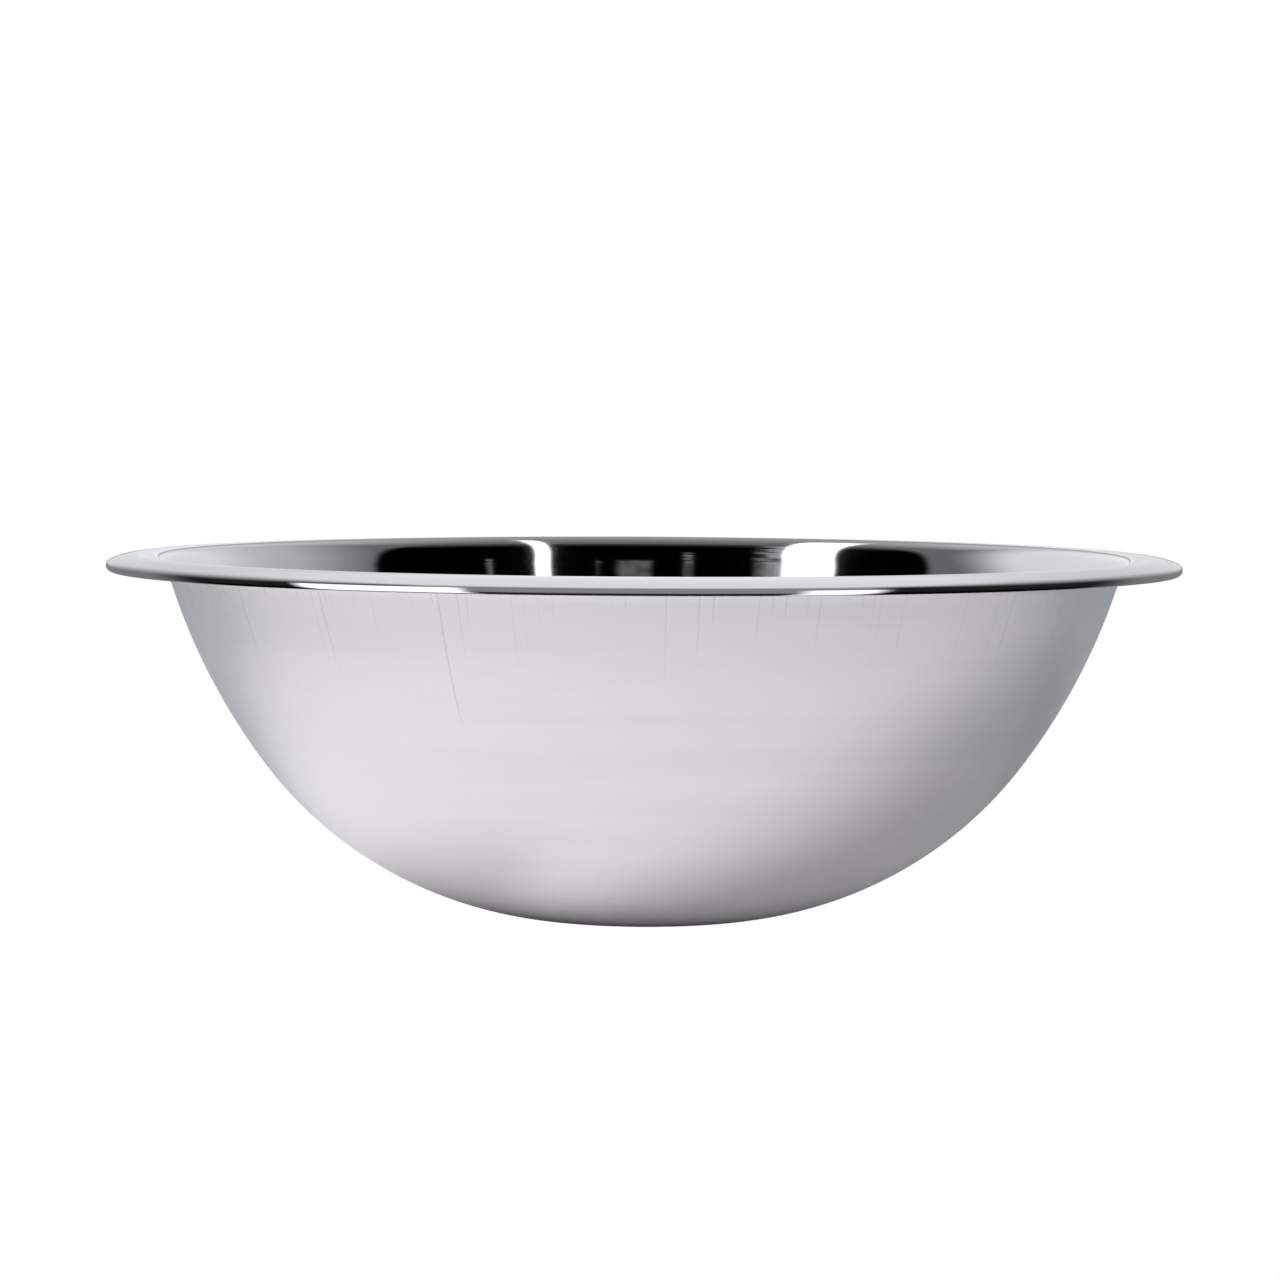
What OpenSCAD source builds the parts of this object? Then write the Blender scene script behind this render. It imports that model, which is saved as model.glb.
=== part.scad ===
// Mixing bowl, spun from one disc of steel sheet. Millimetres, +Z up. The origin is the centre of the
// flat that the bowl stands on. The section runs outwards from the axis as a chain of arcs, each one
// tangent to the next: flat base, lower wall, upper wall, neck, brim and rolled edge.

/* [Size] */
// Diameter over the rolled edge
rim_d = 336; // [300:1:420]
// Diameter of the flat that the bowl stands on
base_d = 40; // [24:1:70]
// Thickness of the steel sheet
sheet_t = 0.8; // [0.6:0.05:1]

/* [Wall] */
// Slope of the wall, from level, where the lower wall passes into the upper wall
low_slope = 53; // [45:1:60]
// Slope of the wall, from level, where the neck begins
neck_slope = 72.2; // [68:0.1:80]
// Radius of the upper wall's outside, in section
high_r = 190.4; // [150:0.1:220]

/* [Brim] */
// Radius of the neck's underside, in section
neck_r = 11.5; // [8:0.1:16]
// Radius of the brim's top side beyond its crest, in section
brim_r = 20.5; // [14:0.1:26]
// Slope of the brim, from level, where the rolled edge begins
brim_slope = 23.7; // [15:0.1:30]
// Diameter of the rolled edge
roll_d = 3.6; // [2.8:0.1:4]
// Angle that the rolled edge is turned through
roll_turn = 280; // [240:1:280]

/* [Hidden] */
$fn = 240;

// How far a drawn arc may stray from the true one
chord_error = 0.015;

base_r = base_d / 2;
roll_r = roll_d / 2;

// Radius of the lower wall's outside: it takes up the width that the rest of the chain leaves over
low_r = (rim_d / 2 - base_r - high_r * (sin(neck_slope) - sin(low_slope)) - neck_r * sin(neck_slope)
    - brim_r * sin(brim_slope) - roll_r * (1 - sin(brim_slope))) / sin(low_slope);

// Centres of the arcs, in the section's plane: across from the axis, and up
low_centre = [base_r, low_r];
high_centre = low_centre + (low_r - high_r) * toward(low_slope - 90);
neck_centre = high_centre + (high_r + neck_r) * toward(neck_slope - 90);
brim_centre = neck_centre + [0, neck_r + sheet_t - brim_r];
roll_centre = brim_centre + (brim_r - roll_r) * toward(90 - brim_slope);

// Unit vector at an angle from the outward direction
function toward(angle) = [cos(angle), sin(angle)];

// Points along an arc, without its first one, which is the last one of the arc before it
function arc(centre, r, from, to) =
    let (steps = ceil(abs(to - from) / (2 * acos(1 - chord_error / r))))
    [for (i = [1:steps]) centre + r * toward(from + (to - from) * i / steps)];

// One face of the sheet in section, from the axis to the end of the rolled edge. It lies a distance
// up through the sheet from its underside.
function face(up) = concat(
    [[0, up], [base_r, up]],
    arc(low_centre, low_r - up, -90, low_slope - 90),
    arc(high_centre, high_r - up, low_slope - 90, neck_slope - 90),
    arc(neck_centre, neck_r + up, neck_slope + 90, 90),
    arc(brim_centre, brim_r - sheet_t + up, 90, 90 - brim_slope),
    arc(roll_centre, roll_r - sheet_t + up, 90 - brim_slope, 90 - brim_slope - roll_turn));

function reversed(points) = [for (i = [len(points) - 1:-1:0]) points[i]];

module bowl_shell() {
    color("silver")
        rotate_extrude()
            polygon(concat(face(0), reversed(face(sheet_t))));
}

bowl_shell();
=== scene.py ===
import math

import bmesh
import bpy
from mathutils import Matrix, Vector


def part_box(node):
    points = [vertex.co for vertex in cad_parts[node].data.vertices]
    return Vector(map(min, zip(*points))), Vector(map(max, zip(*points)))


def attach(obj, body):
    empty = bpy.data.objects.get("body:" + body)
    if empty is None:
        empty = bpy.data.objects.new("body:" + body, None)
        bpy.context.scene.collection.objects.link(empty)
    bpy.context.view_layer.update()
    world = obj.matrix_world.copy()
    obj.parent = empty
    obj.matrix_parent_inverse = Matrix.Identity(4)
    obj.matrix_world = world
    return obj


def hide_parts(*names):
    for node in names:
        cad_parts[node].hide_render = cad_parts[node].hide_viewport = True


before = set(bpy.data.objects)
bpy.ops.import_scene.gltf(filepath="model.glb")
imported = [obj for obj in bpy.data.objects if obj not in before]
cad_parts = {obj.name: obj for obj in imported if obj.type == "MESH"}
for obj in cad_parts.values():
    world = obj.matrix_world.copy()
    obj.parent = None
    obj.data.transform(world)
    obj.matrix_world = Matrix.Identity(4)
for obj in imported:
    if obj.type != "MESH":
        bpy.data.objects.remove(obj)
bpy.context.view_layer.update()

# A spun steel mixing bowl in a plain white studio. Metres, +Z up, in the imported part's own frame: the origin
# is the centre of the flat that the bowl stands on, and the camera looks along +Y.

shell_low, shell_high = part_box("bowl_shell")

# ---- The bowl's section: the same chain of tangent arcs as the part, in metres and radians ----
MM = 0.001
RIM_R = shell_high.x
BASE_R = 20 * MM
SHEET = 0.8 * MM
LOW_SLOPE = math.radians(53)
NECK_SLOPE = math.radians(72.2)
HIGH_R = 190.4 * MM
NECK_R = 11.5 * MM
BRIM_R = 20.5 * MM
BRIM_SLOPE = math.radians(23.7)
ROLL_R = 1.8 * MM
ROLL_TURN = math.radians(280)
QUARTER = math.pi / 2

AROUND = 384        # steps round the axis
BASE_STEPS = 4      # steps across the flat base, from the axis
STEPS = {"low": 38, "high": 24, "neck": 14, "brim": 8, "roll": 26}   # steps along each arc of a face


def toward(angle):
    """Unit vector in the section's plane: outwards from the axis, and up."""
    return Vector((math.cos(angle), math.sin(angle)))


LOW_R = (RIM_R - BASE_R - HIGH_R * (math.sin(NECK_SLOPE) - math.sin(LOW_SLOPE))
         - NECK_R * math.sin(NECK_SLOPE) - BRIM_R * math.sin(BRIM_SLOPE)
         - ROLL_R * (1 - math.sin(BRIM_SLOPE))) / math.sin(LOW_SLOPE)
LOW_CENTRE = Vector((BASE_R, LOW_R + shell_low.z))
HIGH_CENTRE = LOW_CENTRE + (LOW_R - HIGH_R) * toward(LOW_SLOPE - QUARTER)
NECK_CENTRE = HIGH_CENTRE + (HIGH_R + NECK_R) * toward(NECK_SLOPE - QUARTER)
BRIM_CENTRE = NECK_CENTRE + Vector((0, NECK_R + SHEET - BRIM_R))
ROLL_CENTRE = BRIM_CENTRE + (BRIM_R - ROLL_R) * toward(QUARTER - BRIM_SLOPE)
NECK_START_Z = NECK_CENTRE.y + NECK_R * math.sin(NECK_SLOPE + QUARTER)


def face_of_sheet(up):
    """One face of the sheet, a distance up from its underside: pairs of a point and the stretch it is on."""
    def arc(name, centre, radius, start, end):
        count = STEPS[name]
        return [(centre + radius * toward(start + (end - start) * i / count), name)
                for i in range(1, count + 1)]

    roll_start = QUARTER - BRIM_SLOPE
    return ([(Vector((BASE_R * i / BASE_STEPS, shell_low.z + up)), "base") for i in range(1, BASE_STEPS + 1)]
            + arc("low", LOW_CENTRE, LOW_R - up, -QUARTER, LOW_SLOPE - QUARTER)
            + arc("high", HIGH_CENTRE, HIGH_R - up, LOW_SLOPE - QUARTER, NECK_SLOPE - QUARTER)
            + arc("neck", NECK_CENTRE, NECK_R + up, NECK_SLOPE + QUARTER, QUARTER)
            + arc("brim", BRIM_CENTRE, BRIM_R - SHEET + up, QUARTER, roll_start)
            + arc("roll", ROLL_CENTRE, ROLL_R - SHEET + up, roll_start, roll_start - ROLL_TURN))


OUTSIDE, INSIDE, RIM = range(3)     # material slots


def strip_finish(section, k, under_count):
    """The finish of the strip between rings k and k + 1 of the section."""
    on_top = k >= under_count
    stretch = section[k][1] if on_top else section[k + 1][1]
    cut_end = k == under_count - 1
    if cut_end or stretch == "roll" or (on_top and stretch == "brim"):
        return RIM
    return INSIDE if on_top else OUTSIDE


def neighbours(loop):
    """Each point of a closed loop with the next one."""
    return zip(loop, loop[1:] + loop[:1])


def build_bowl():
    """The whole sheet as one closed mesh, turned round the axis, with a material slot for each finish."""
    under = face_of_sheet(0)
    top = face_of_sheet(SHEET)
    section = under + top[::-1]
    mesh = bpy.data.meshes.new("bowl_steel_sheet")
    build = bmesh.new()
    angles = [2 * math.pi * i / AROUND for i in range(AROUND)]
    loops = [[build.verts.new((point.x * math.sin(a), -point.x * math.cos(a), point.y)) for a in angles]
             for point, _ in section]
    for k in range(len(section) - 1):
        slot = strip_finish(section, k, len(under))
        for (near, near_next), (far, far_next) in zip(neighbours(loops[k]), neighbours(loops[k + 1])):
            face = build.faces.new((near, near_next, far_next, far))
            face.material_index = slot
    for loop, up, slot in ((loops[0], 0, OUTSIDE), (loops[-1], SHEET, INSIDE)):
        centre = build.verts.new((0, 0, shell_low.z + up))
        for point, next_point in neighbours(loop):
            face = build.faces.new((centre, point, next_point))
            face.material_index = slot
    bmesh.ops.recalc_face_normals(build, faces=build.faces)
    for face in build.faces:
        face.smooth = True
    # the cut end of the curl is a sharp strip between the two faces
    for loop in (loops[len(under) - 1], loops[len(under)]):
        for pair in neighbours(loop):
            build.edges.get(pair).smooth = False
    build.to_mesh(mesh)
    build.free()
    bowl = bpy.data.objects.new("bowl_steel_sheet", mesh)
    bpy.context.scene.collection.objects.link(bowl)
    return bowl


# ---- Node helpers ----
class Field:
    """A number that a material works out at every point. Arithmetic on it adds Math nodes."""

    def __init__(self, tree, socket):
        self.tree = tree
        self.socket = socket

    def math(self, operation, *others):
        return math_node(self.tree, operation, self, *others)

    def __add__(self, other):
        return self.math("ADD", other)

    def __sub__(self, other):
        return self.math("SUBTRACT", other)

    def __rsub__(self, other):
        return math_node(self.tree, "SUBTRACT", other, self)

    def __mul__(self, other):
        return self.math("MULTIPLY", other)

    def __truediv__(self, other):
        return self.math("DIVIDE", other)

    def __neg__(self):
        return self.math("MULTIPLY", -1)

    def ramp(self, start, end, before=0.0, after=1.0, kind="SMOOTHSTEP"):
        """Goes from one value to the other while this number goes from start to end."""
        node = self.tree.nodes.new("ShaderNodeMapRange")
        node.interpolation_type = kind
        plug(self.tree, self, node.inputs["Value"])
        for name, value in (("From Min", start), ("From Max", end), ("To Min", before), ("To Max", after)):
            plug(self.tree, value, node.inputs[name])
        return Field(self.tree, node.outputs["Result"])


def plug(tree, value, socket):
    """Feeds a Field, a socket or a plain value into an input socket."""
    if isinstance(value, Field):
        value = value.socket
    if isinstance(value, bpy.types.NodeSocket):
        tree.links.new(value, socket)
    else:
        socket.default_value = value


def math_node(tree, operation, *inputs):
    """A Math node's result, from Fields, sockets or plain values."""
    node = tree.nodes.new("ShaderNodeMath")
    node.operation = operation
    for value, socket in zip(inputs, node.inputs):
        plug(tree, value, socket)
    return Field(tree, node.outputs[0])


def vector_of(tree, x, y, z):
    """A vector socket that carries three numbers."""
    node = tree.nodes.new("ShaderNodeCombineXYZ")
    for value, socket in zip((x, y, z), node.inputs):
        plug(tree, value, socket)
    return node.outputs[0]


def coordinates(tree, output, source_node="ShaderNodeTexCoord"):
    """x, y and z of a coordinate or direction as three Fields."""
    source = tree.nodes.new(source_node)
    split = tree.nodes.new("ShaderNodeSeparateXYZ")
    tree.links.new(source.outputs[output], split.inputs[0])
    return [Field(tree, socket) for socket in split.outputs]


def ray_kind(tree, kind):
    """1 on rays of one kind and 0 on all others."""
    path = tree.nodes.new("ShaderNodeLightPath")
    return Field(tree, path.outputs[kind])


def noise(tree, vector, detail):
    """Smooth noise from 0 to 1, one lump to each unit of the vector."""
    node = tree.nodes.new("ShaderNodeTexNoise")
    plug(tree, vector, node.inputs["Vector"])
    node.inputs["Scale"].default_value = 1.0
    node.inputs["Detail"].default_value = detail
    return Field(tree, node.outputs["Fac"])


def chance(tree, number, channel):
    """A random number from 0 to 1 that depends only on the number and the channel."""
    node = tree.nodes.new("ShaderNodeTexWhiteNoise")
    node.noise_dimensions = "2D"
    plug(tree, vector_of(tree, number, channel + 0.5, 0), node.inputs["Vector"])
    return Field(tree, node.outputs["Value"])


def blend_colours(tree, amount, first, second):
    """The first colour where the amount is 0, and the second where it is 1."""
    node = tree.nodes.new("ShaderNodeMix")
    node.data_type = "RGBA"
    plug(tree, amount, node.inputs["Factor"])
    for name, colour in (("A", first), ("B", second)):
        socket = [s for s in node.inputs if s.name == name and s.type == "RGBA"][0]
        plug(tree, colour, socket)
    return [s for s in node.outputs if s.type == "RGBA"][0]


# ---- Steel ----
STEEL = (0.60, 0.592, 0.607, 1)
STEEL_WARM = (0.655, 0.632, 0.643, 1)
MARK_GREY = (0.30, 0.30, 0.31, 1)
# the colour of the painted shadow under the rolled edge, as the rim mirrors it
PAINTED_GAP_SHADOW = (0.02, 0.02, 0.02, 1)

LONG_MARK_ANGLE = math.radians(-23.7)     # the one mark that runs far down the wall, left of the front
LONG_MARK = 42 * MM                       # how far down from the neck it runs
LONG_MARK_HALF_WIDTH = 0.0028             # radians round the axis


def new_metal(name):
    """A metal material, with its node tree and its shader."""
    material = bpy.data.materials.new(name)
    material.use_nodes = True
    tree = material.node_tree
    shader = next(n for n in tree.nodes if n.type == "BSDF_PRINCIPLED")
    shader.inputs["Metallic"].default_value = 1.0
    return material, tree, shader


def turned_coordinates(tree):
    """Height, angle from the front, a measure that grows from the base to the rim, and east and north, which
    are 1 long together and point from the axis."""
    x, y, z = coordinates(tree, "Object")
    radius = math_node(tree, "SQRT", x * x + y * y)
    safe_radius = math_node(tree, "MAXIMUM", radius, 0.1 * MM)
    angle = math_node(tree, "ARCTAN2", x, -y)
    return z, angle, radius + z, x / safe_radius, y / safe_radius


def rings(tree, across, east, north, pitch, sway, detail):
    """Lines round the axis, about a pitch apart. More sway makes them change faster on their way round."""
    return noise(tree, vector_of(tree, east * sway, north * sway, across / pitch), detail)


def add_bump(tree, shader, height, distance, strength):
    """Raises the surface by a height from 0 to 1 times a distance."""
    bump = tree.nodes.new("ShaderNodeBump")
    bump.inputs["Strength"].default_value = strength
    bump.inputs["Distance"].default_value = distance
    plug(tree, height, bump.inputs["Height"])
    tree.links.new(bump.outputs["Normal"], shader.inputs["Normal"])


def add_roughness(tree, shader, fine, least, spread):
    """Roughness that the fine lines raise from the least, by up to a spread."""
    plug(tree, fine * spread + least, shader.inputs["Roughness"])


def brush_round(tree, shader, amount):
    """Stretches reflections across lines that run round the axis."""
    tangent = tree.nodes.new("ShaderNodeTangent")
    tangent.direction_type = "RADIAL"
    tangent.axis = "Z"
    tree.links.new(tangent.outputs["Tangent"], shader.inputs["Tangent"])
    shader.inputs["Anisotropic"].default_value = amount
    shader.inputs["Anisotropic Rotation"].default_value = 0.25      # a quarter turn


def draw_marks(tree, z, angle, columns, width, deepest, keep, channel):
    """Thin marks that run down from the neck, at most one in each column round the bowl. The width is in
    radians, and keep is the share of columns that has a mark."""
    place = (angle / (2 * math.pi) + 0.5) * columns
    column = math_node(tree, "FLOOR", place)
    within = place - column
    depth = NECK_START_Z - z
    centre = chance(tree, column, channel + 1) * 0.6 + 0.2
    slant = (chance(tree, column, channel + 2) - 0.5) * 1.6       # columns sideways to a metre down
    offset = math_node(tree, "ABSOLUTE", within - centre - slant * depth)
    line = offset.ramp(0.0, width * columns / (2 * math.pi), 1.0, 0.0)
    length = chance(tree, column, channel + 3).math("POWER", 2.0) * deepest       # most are short
    fade = (depth / math_node(tree, "MAXIMUM", length, 1 * MM)).ramp(0.2, 1.0, 1.0, 0.0)
    there = math_node(tree, "LESS_THAN", chance(tree, column, channel + 4), keep)
    weight = chance(tree, column, channel + 5) * 0.8 + 0.2
    return line * fade * there * weight


def long_mark(tree, z, angle):
    """The one mark that runs far down the wall."""
    off_line = math_node(tree, "ABSOLUTE", angle - LONG_MARK_ANGLE)
    line = off_line.ramp(LONG_MARK_HALF_WIDTH / 4, LONG_MARK_HALF_WIDTH, 1.0, 0.0)
    return line * (NECK_START_Z - z).ramp(LONG_MARK * 0.6, LONG_MARK, 1.0, 0.0)


def satin_outside():
    """Satin steel with faint lines round it and marks that the spinning tool left below the brim. To the rim's
    sharp mirror it is painted near black, a painted shadow under the rolled edge.
    """
    material, tree, shader = new_metal("bowl_outside_satin")
    z, angle, across, east, north = turned_coordinates(tree)
    fine = rings(tree, across, east, north, pitch=0.9 * MM, sway=1.5, detail=4.0)
    broad = rings(tree, across, east, north, pitch=14 * MM, sway=0.7, detail=2.0)
    faint = draw_marks(tree, z, angle, columns=260, width=0.0018, deepest=34 * MM, keep=0.6, channel=10)
    strong = draw_marks(tree, z, angle, columns=70, width=0.0026, deepest=44 * MM, keep=0.35, channel=30)
    scratch = math_node(tree, "MAXIMUM", faint * 0.9, strong)
    scratch = math_node(tree, "MAXIMUM", scratch, long_mark(tree, z, angle) * 0.7)
    tone = broad.ramp(0.3, 0.7) * 0.5 + fine * 0.5
    colour = blend_colours(tree, tone, STEEL, STEEL_WARM)
    colour = blend_colours(tree, scratch * 0.45, colour, MARK_GREY)
    # only the rim mirrors sharply, and to it the outside is painted near black: a painted shadow that stands
    # in for the shade under the rolled edge
    painted_shadow = ray_kind(tree, "Is Singular Ray") * 0.9
    colour = blend_colours(tree, painted_shadow, colour, PAINTED_GAP_SHADOW)
    plug(tree, colour, shader.inputs["Base Color"])
    add_roughness(tree, shader, fine, least=0.27, spread=0.10)
    add_bump(tree, shader, fine * 0.5 - scratch, distance=0.02 * MM, strength=0.6)
    brush_round(tree, shader, amount=0.4)
    return material


def polished_inside():
    """Mirror polished, with the polishing lines running round."""
    material, tree, shader = new_metal("bowl_inside_polished")
    _, _, across, east, north = turned_coordinates(tree)
    fine = rings(tree, across, east, north, pitch=0.7 * MM, sway=2.0, detail=3.0)
    broad = rings(tree, across, east, north, pitch=9 * MM, sway=1.2, detail=2.0)
    colour = blend_colours(tree, broad, STEEL, STEEL_WARM)
    plug(tree, colour, shader.inputs["Base Color"])
    add_roughness(tree, shader, fine, least=0.04, spread=0.05)
    add_bump(tree, shader, broad, distance=0.03 * MM, strength=0.5)
    brush_round(tree, shader, amount=0.7)
    return material


def polished_rim():
    """The top of the brim and the rolled edge: a sharp mirror, with faint lines running round."""
    material, tree, shader = new_metal("bowl_rim_polished")
    _, _, across, east, north = turned_coordinates(tree)
    fine = rings(tree, across, east, north, pitch=0.6 * MM, sway=2.0, detail=3.0)
    colour = blend_colours(tree, fine.ramp(0.3, 0.7), STEEL, STEEL_WARM)
    plug(tree, colour, shader.inputs["Base Color"])
    shader.inputs["Roughness"].default_value = 0.0
    return material


# ---- Studio ----
# Steel seen from the camera mirrors a direction when it faces halfway between that direction and the camera.
# So the surroundings are laid out by that halfway turn. Sideways numbers are degrees, + to the camera's
# right, and upward numbers are the sine of the turn above level.
PALE_BLUE = (0.955, 0.985, 1.0, 1)
BACKDROP = 1.06         # strength that shows as plain white in the picture
STRIP_GLOW = 4          # strength of the strip lights

# Strip lights in the room: start, end and softness sideways
STRIPS = (
    (12.9, 13.9, 0.8),
    (-25.0, -19.2, 1.2),
)

# Faint things in the dark of the room: start, end and softness sideways, top, strength
DIM_THINGS = (
    (20.5, 20.9, 0.4, 0.42, 0.40),
    (5.8, 6.2, 0.3, 0.42, 0.12),
    (-0.3, 3.0, 1.2, 0.38, 0.18),
    (-6.0, -5.6, 0.7, 0.60, 0.25),
    (-18.5, -16.5, 2.5, 0.80, 0.45),
)

# Bright pools that only the rim sees: start, end and softness sideways, the same upward, strength
RIM_POOLS = (
    (-37.5, -20.5, 2.5, -0.8, -0.05, 0.1, 1.8),
    (18.5, 24, 3, -0.9, -0.2, 0.1, 1.6),
)


def smooth_box(value, start, end, soft):
    """1 where the value lies between start and end, falling to 0 over a soft width on each side."""
    return value.ramp(start - soft, start, 0.0, 1.0) * value.ramp(end, end + soft, 1.0, 0.0)


def room_light(tree, sideways, upward, lean):
    """What most of the steel sees: pale walls at the sides, light overhead, and between them a dark room
    behind the camera, with strip lights and a few dim things in it."""
    off_centre = math_node(tree, "ABSOLUTE", sideways)
    column = sideways + lean * 6        # edges on this come out upright in the bowl's inside
    steeper = sideways + lean * 12

    right_wall = column.ramp(37, 52, 0.2, 0.66, "LINEAR") + column.ramp(52, 76, 0, 0.34)
    left_wall = (-steeper).ramp(46, 62, 0.2, 1.05)
    walls = math_node(tree, "MAXIMUM", right_wall, left_wall) * off_centre.ramp(64, 88, 1.0, 0.82)
    overhead = upward.ramp(0.72, 1.0, 0.0, 0.9) * off_centre.ramp(10, 45, 0.5, 1.0)
    overhead = overhead * off_centre.ramp(60, 85, 1.0, 0.93)

    # the dark room ends in a frame with rounded corners
    dark_middle = -1.3
    dark_half_width = 39
    dark_top = 0.8
    wide = (math_node(tree, "ABSOLUTE", column - dark_middle) / dark_half_width).math("POWER", 10)
    high = (math_node(tree, "MAXIMUM", upward, 0) / dark_top).math("POWER", 6)
    outside_dark = (wide + high).ramp(0.8, 1.2)
    room = math_node(tree, "MAXIMUM", walls * outside_dark, overhead)

    along_strips = upward.ramp(0.0, 0.05) * upward.ramp(0.84, 0.93, 1.0, 0.0)
    for start, end, soft in STRIPS:
        room = room + smooth_box(column, start, end, soft) * along_strips * STRIP_GLOW
    broken = noise(tree, vector_of(tree, column * 0.3, upward * 20, 0), 3.0).ramp(0.35, 0.6)
    for start, end, soft, top, strength in DIM_THINGS:
        thing = smooth_box(column, start, end, soft) * upward.ramp(top - 0.05, top, strength, 0.0)
        room = room + thing * broken
    return room


def light_round_rim(tree, sideways, upward):
    """What the brim and the rolled edge see: dim in front and below, pale above, and two bright pools."""
    off_centre = math_node(tree, "ABSOLUTE", sideways)
    front = off_centre.ramp(22, 28, 0.36, 0.02) * upward.ramp(-0.7, -0.45, 0.05, 1.0)
    front = front + off_centre.ramp(54, 66, 0.0, 0.24)
    pale = off_centre.ramp(30, 75, 1.1, 0.8)
    turn_start = off_centre.ramp(20, 50, 0.1, -0.1)
    turn_end = off_centre.ramp(20, 50, 0.4, 0.95) - off_centre.ramp(65, 88, 0.0, 0.65)
    above = upward.ramp(turn_start, turn_end)
    light = front * (1 - above) + pale * above
    for start, end, soft, bottom, top, soft_up, strength in RIM_POOLS:
        pool = smooth_box(sideways, start, end, soft) * smooth_box(upward, bottom, top, soft_up)
        light = light + pool * strength
    return light


def build_surroundings():
    """Three sets of surroundings: plain white for the camera, a plain pale one for the rim, which is the only
    steel that mirrors sharply, and a room for everything else."""
    world = bpy.data.worlds.new("studio")
    bpy.context.scene.world = world
    world.use_nodes = True
    tree = world.node_tree
    background = next(n for n in tree.nodes if n.type == "BACKGROUND")
    x, y, z = coordinates(tree, "Generated")
    from_front = math_node(tree, "MAXIMUM", 1 - y, 0.001)
    sideways = math_node(tree, "ARCTAN2", x, from_front) * (180 / math.pi)
    upward = z / math_node(tree, "SQRT", from_front * 2)
    lean = x / from_front * upward

    off_rim = ray_kind(tree, "Is Singular Ray")
    seen = ray_kind(tree, "Is Camera Ray")
    light = room_light(tree, sideways, upward, lean) * (1 - off_rim)
    light = light + light_round_rim(tree, sideways, upward) * off_rim
    plug(tree, PALE_BLUE, background.inputs["Color"])
    plug(tree, light * (1 - seen) + seen * BACKDROP, background.inputs["Strength"])


def mix_shaders(tree, share, first, second):
    """The first shader where the share is 0, and the second where it is 1."""
    node = tree.nodes.new("ShaderNodeMixShader")
    plug(tree, share, node.inputs[0])
    tree.links.new(first.outputs[0], node.inputs[1])
    tree.links.new(second.outputs[0], node.inputs[2])
    return node


def floor_white():
    """Matte, painted palest close to the bowl's front, a painted pool of light, and painted darker under its
    left side, a painted shade.
    In the picture it is plain white at a low angle, and from higher up it shows the bowl's faint shadow. The
    rim doesn't mirror it."""
    material = bpy.data.materials.new("floor_white")
    material.use_nodes = True
    tree = material.node_tree
    tree.nodes.clear()
    # metres from the bowl's axis, where +y is behind the bowl and -x is to its left
    x, y, _ = coordinates(tree, "Object")
    distance = math_node(tree, "SQRT", x * x + y * y)
    # painted light: the floor's colour is paler close to the bowl and in front of it, darker farther out and
    # behind
    pale = distance.ramp(0.14, 0.34, 0.86, 0.64) * y.ramp(-0.06, 0.17, 1.0, 0.72)
    # painted shade: the floor's colour is darker under the bowl's left side
    painted_shade_under_left = (-x).ramp(0.02, 0.06) * distance.ramp(0.07, 0.115, 0.35, 0.0)
    pale = pale * (1 - painted_shade_under_left)
    less_red = y.ramp(0.0, 0.25, 0.995, 0.94)
    matte = tree.nodes.new("ShaderNodeBsdfDiffuse")
    plug(tree, vector_of(tree, pale * less_red, pale * 0.985, pale), matte.inputs["Color"])

    _, _, steepness = coordinates(tree, "Incoming", "ShaderNodeNewGeometry")
    white_near_bowl = steepness.ramp(0.2, 0.45, 1.0, 0.75)
    whitened = ray_kind(tree, "Is Camera Ray") * distance.ramp(0.1, 0.5, white_near_bowl, 1.0)
    white = tree.nodes.new("ShaderNodeEmission")
    as_seen = mix_shaders(tree, whitened, matte, white)
    passed = tree.nodes.new("ShaderNodeBsdfTransparent")
    surface = mix_shaders(tree, ray_kind(tree, "Is Singular Ray"), as_seen, passed)
    output = tree.nodes.new("ShaderNodeOutputMaterial")
    tree.links.new(surface.outputs[0], output.inputs["Surface"])
    return material


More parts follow.
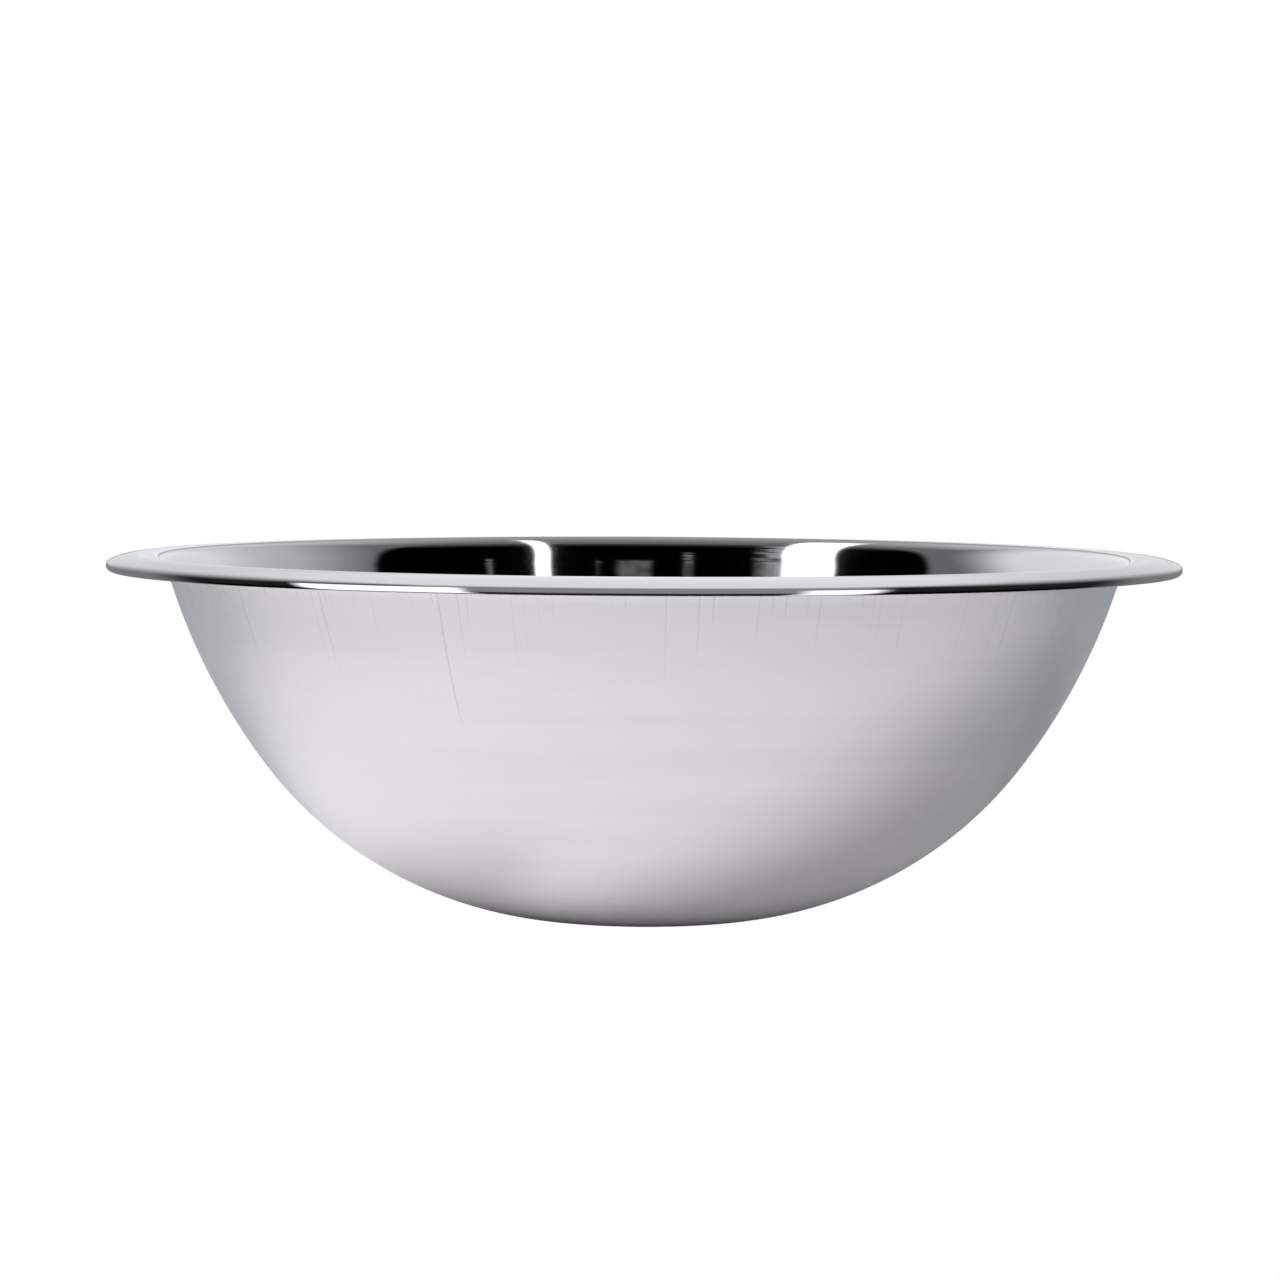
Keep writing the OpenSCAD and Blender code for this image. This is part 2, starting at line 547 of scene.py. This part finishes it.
def build_floor():
    """A wide floor, level with the underside of the bowl."""
    half = 40.0
    mesh = bpy.data.meshes.new("floor")
    mesh.from_pydata([(-half, -half, 0), (half, -half, 0), (half, half, 0), (-half, half, 0)],
                     [], [(0, 1, 2, 3)])
    mesh.materials.append(floor_white())
    floor = bpy.data.objects.new("floor", mesh)
    floor.location.z = shell_low.z
    bpy.context.scene.collection.objects.link(floor)


def add_softlight(name, azimuth, elevation, distance, size, power):
    """A soft light aimed at the bowl, that brightens the floor and isn't seen in the steel. Its azimuth is
    counted from the camera's side, + to the camera's right, and both angles are in degrees."""
    azimuth = math.radians(azimuth)
    elevation = math.radians(elevation)
    place = distance * Vector((math.sin(azimuth) * math.cos(elevation),
                               -math.cos(azimuth) * math.cos(elevation), math.sin(elevation)))
    data = bpy.data.lights.new(name, "AREA")
    data.shape = "DISK"
    data.size = size
    data.energy = power
    lamp = bpy.data.objects.new(name, data)
    lamp.location = place
    lamp.rotation_euler = (-place).to_track_quat("-Z", "Y").to_euler()
    lamp.visible_glossy = False
    lamp.visible_camera = False
    bpy.context.scene.collection.objects.link(lamp)


def add_camera():
    """Just above the rim, looking slightly down at the bowl through a long lens."""
    # metres from the origin, then radians
    distance = 1.6883
    height = 0.1808
    sideways = -0.0012
    pitch = 0.0552
    roll = 0.0052
    data = bpy.data.cameras.new("camera")
    data.sensor_width = 36
    data.lens = 151.6
    camera = bpy.data.objects.new("camera", data)
    camera.matrix_world = (Matrix.Translation((sideways, -distance, height))
                           @ Matrix.Rotation(QUARTER - pitch, 4, "X")
                           @ Matrix.Rotation(roll, 4, "Z"))
    bpy.context.scene.collection.objects.link(camera)
    bpy.context.scene.camera = camera


bowl = build_bowl()
for material in (satin_outside(), polished_inside(), polished_rim()):
    bowl.data.materials.append(material)
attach(bowl, "root")
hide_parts("bowl_shell")

build_surroundings()
build_floor()
add_softlight("key_light", azimuth=-56, elevation=36, distance=2.2, size=1.0, power=49)
add_softlight("fill_light", azimuth=12, elevation=24, distance=2.5, size=1.2, power=37)
add_camera()
bpy.context.scene.view_settings.view_transform = "Standard"
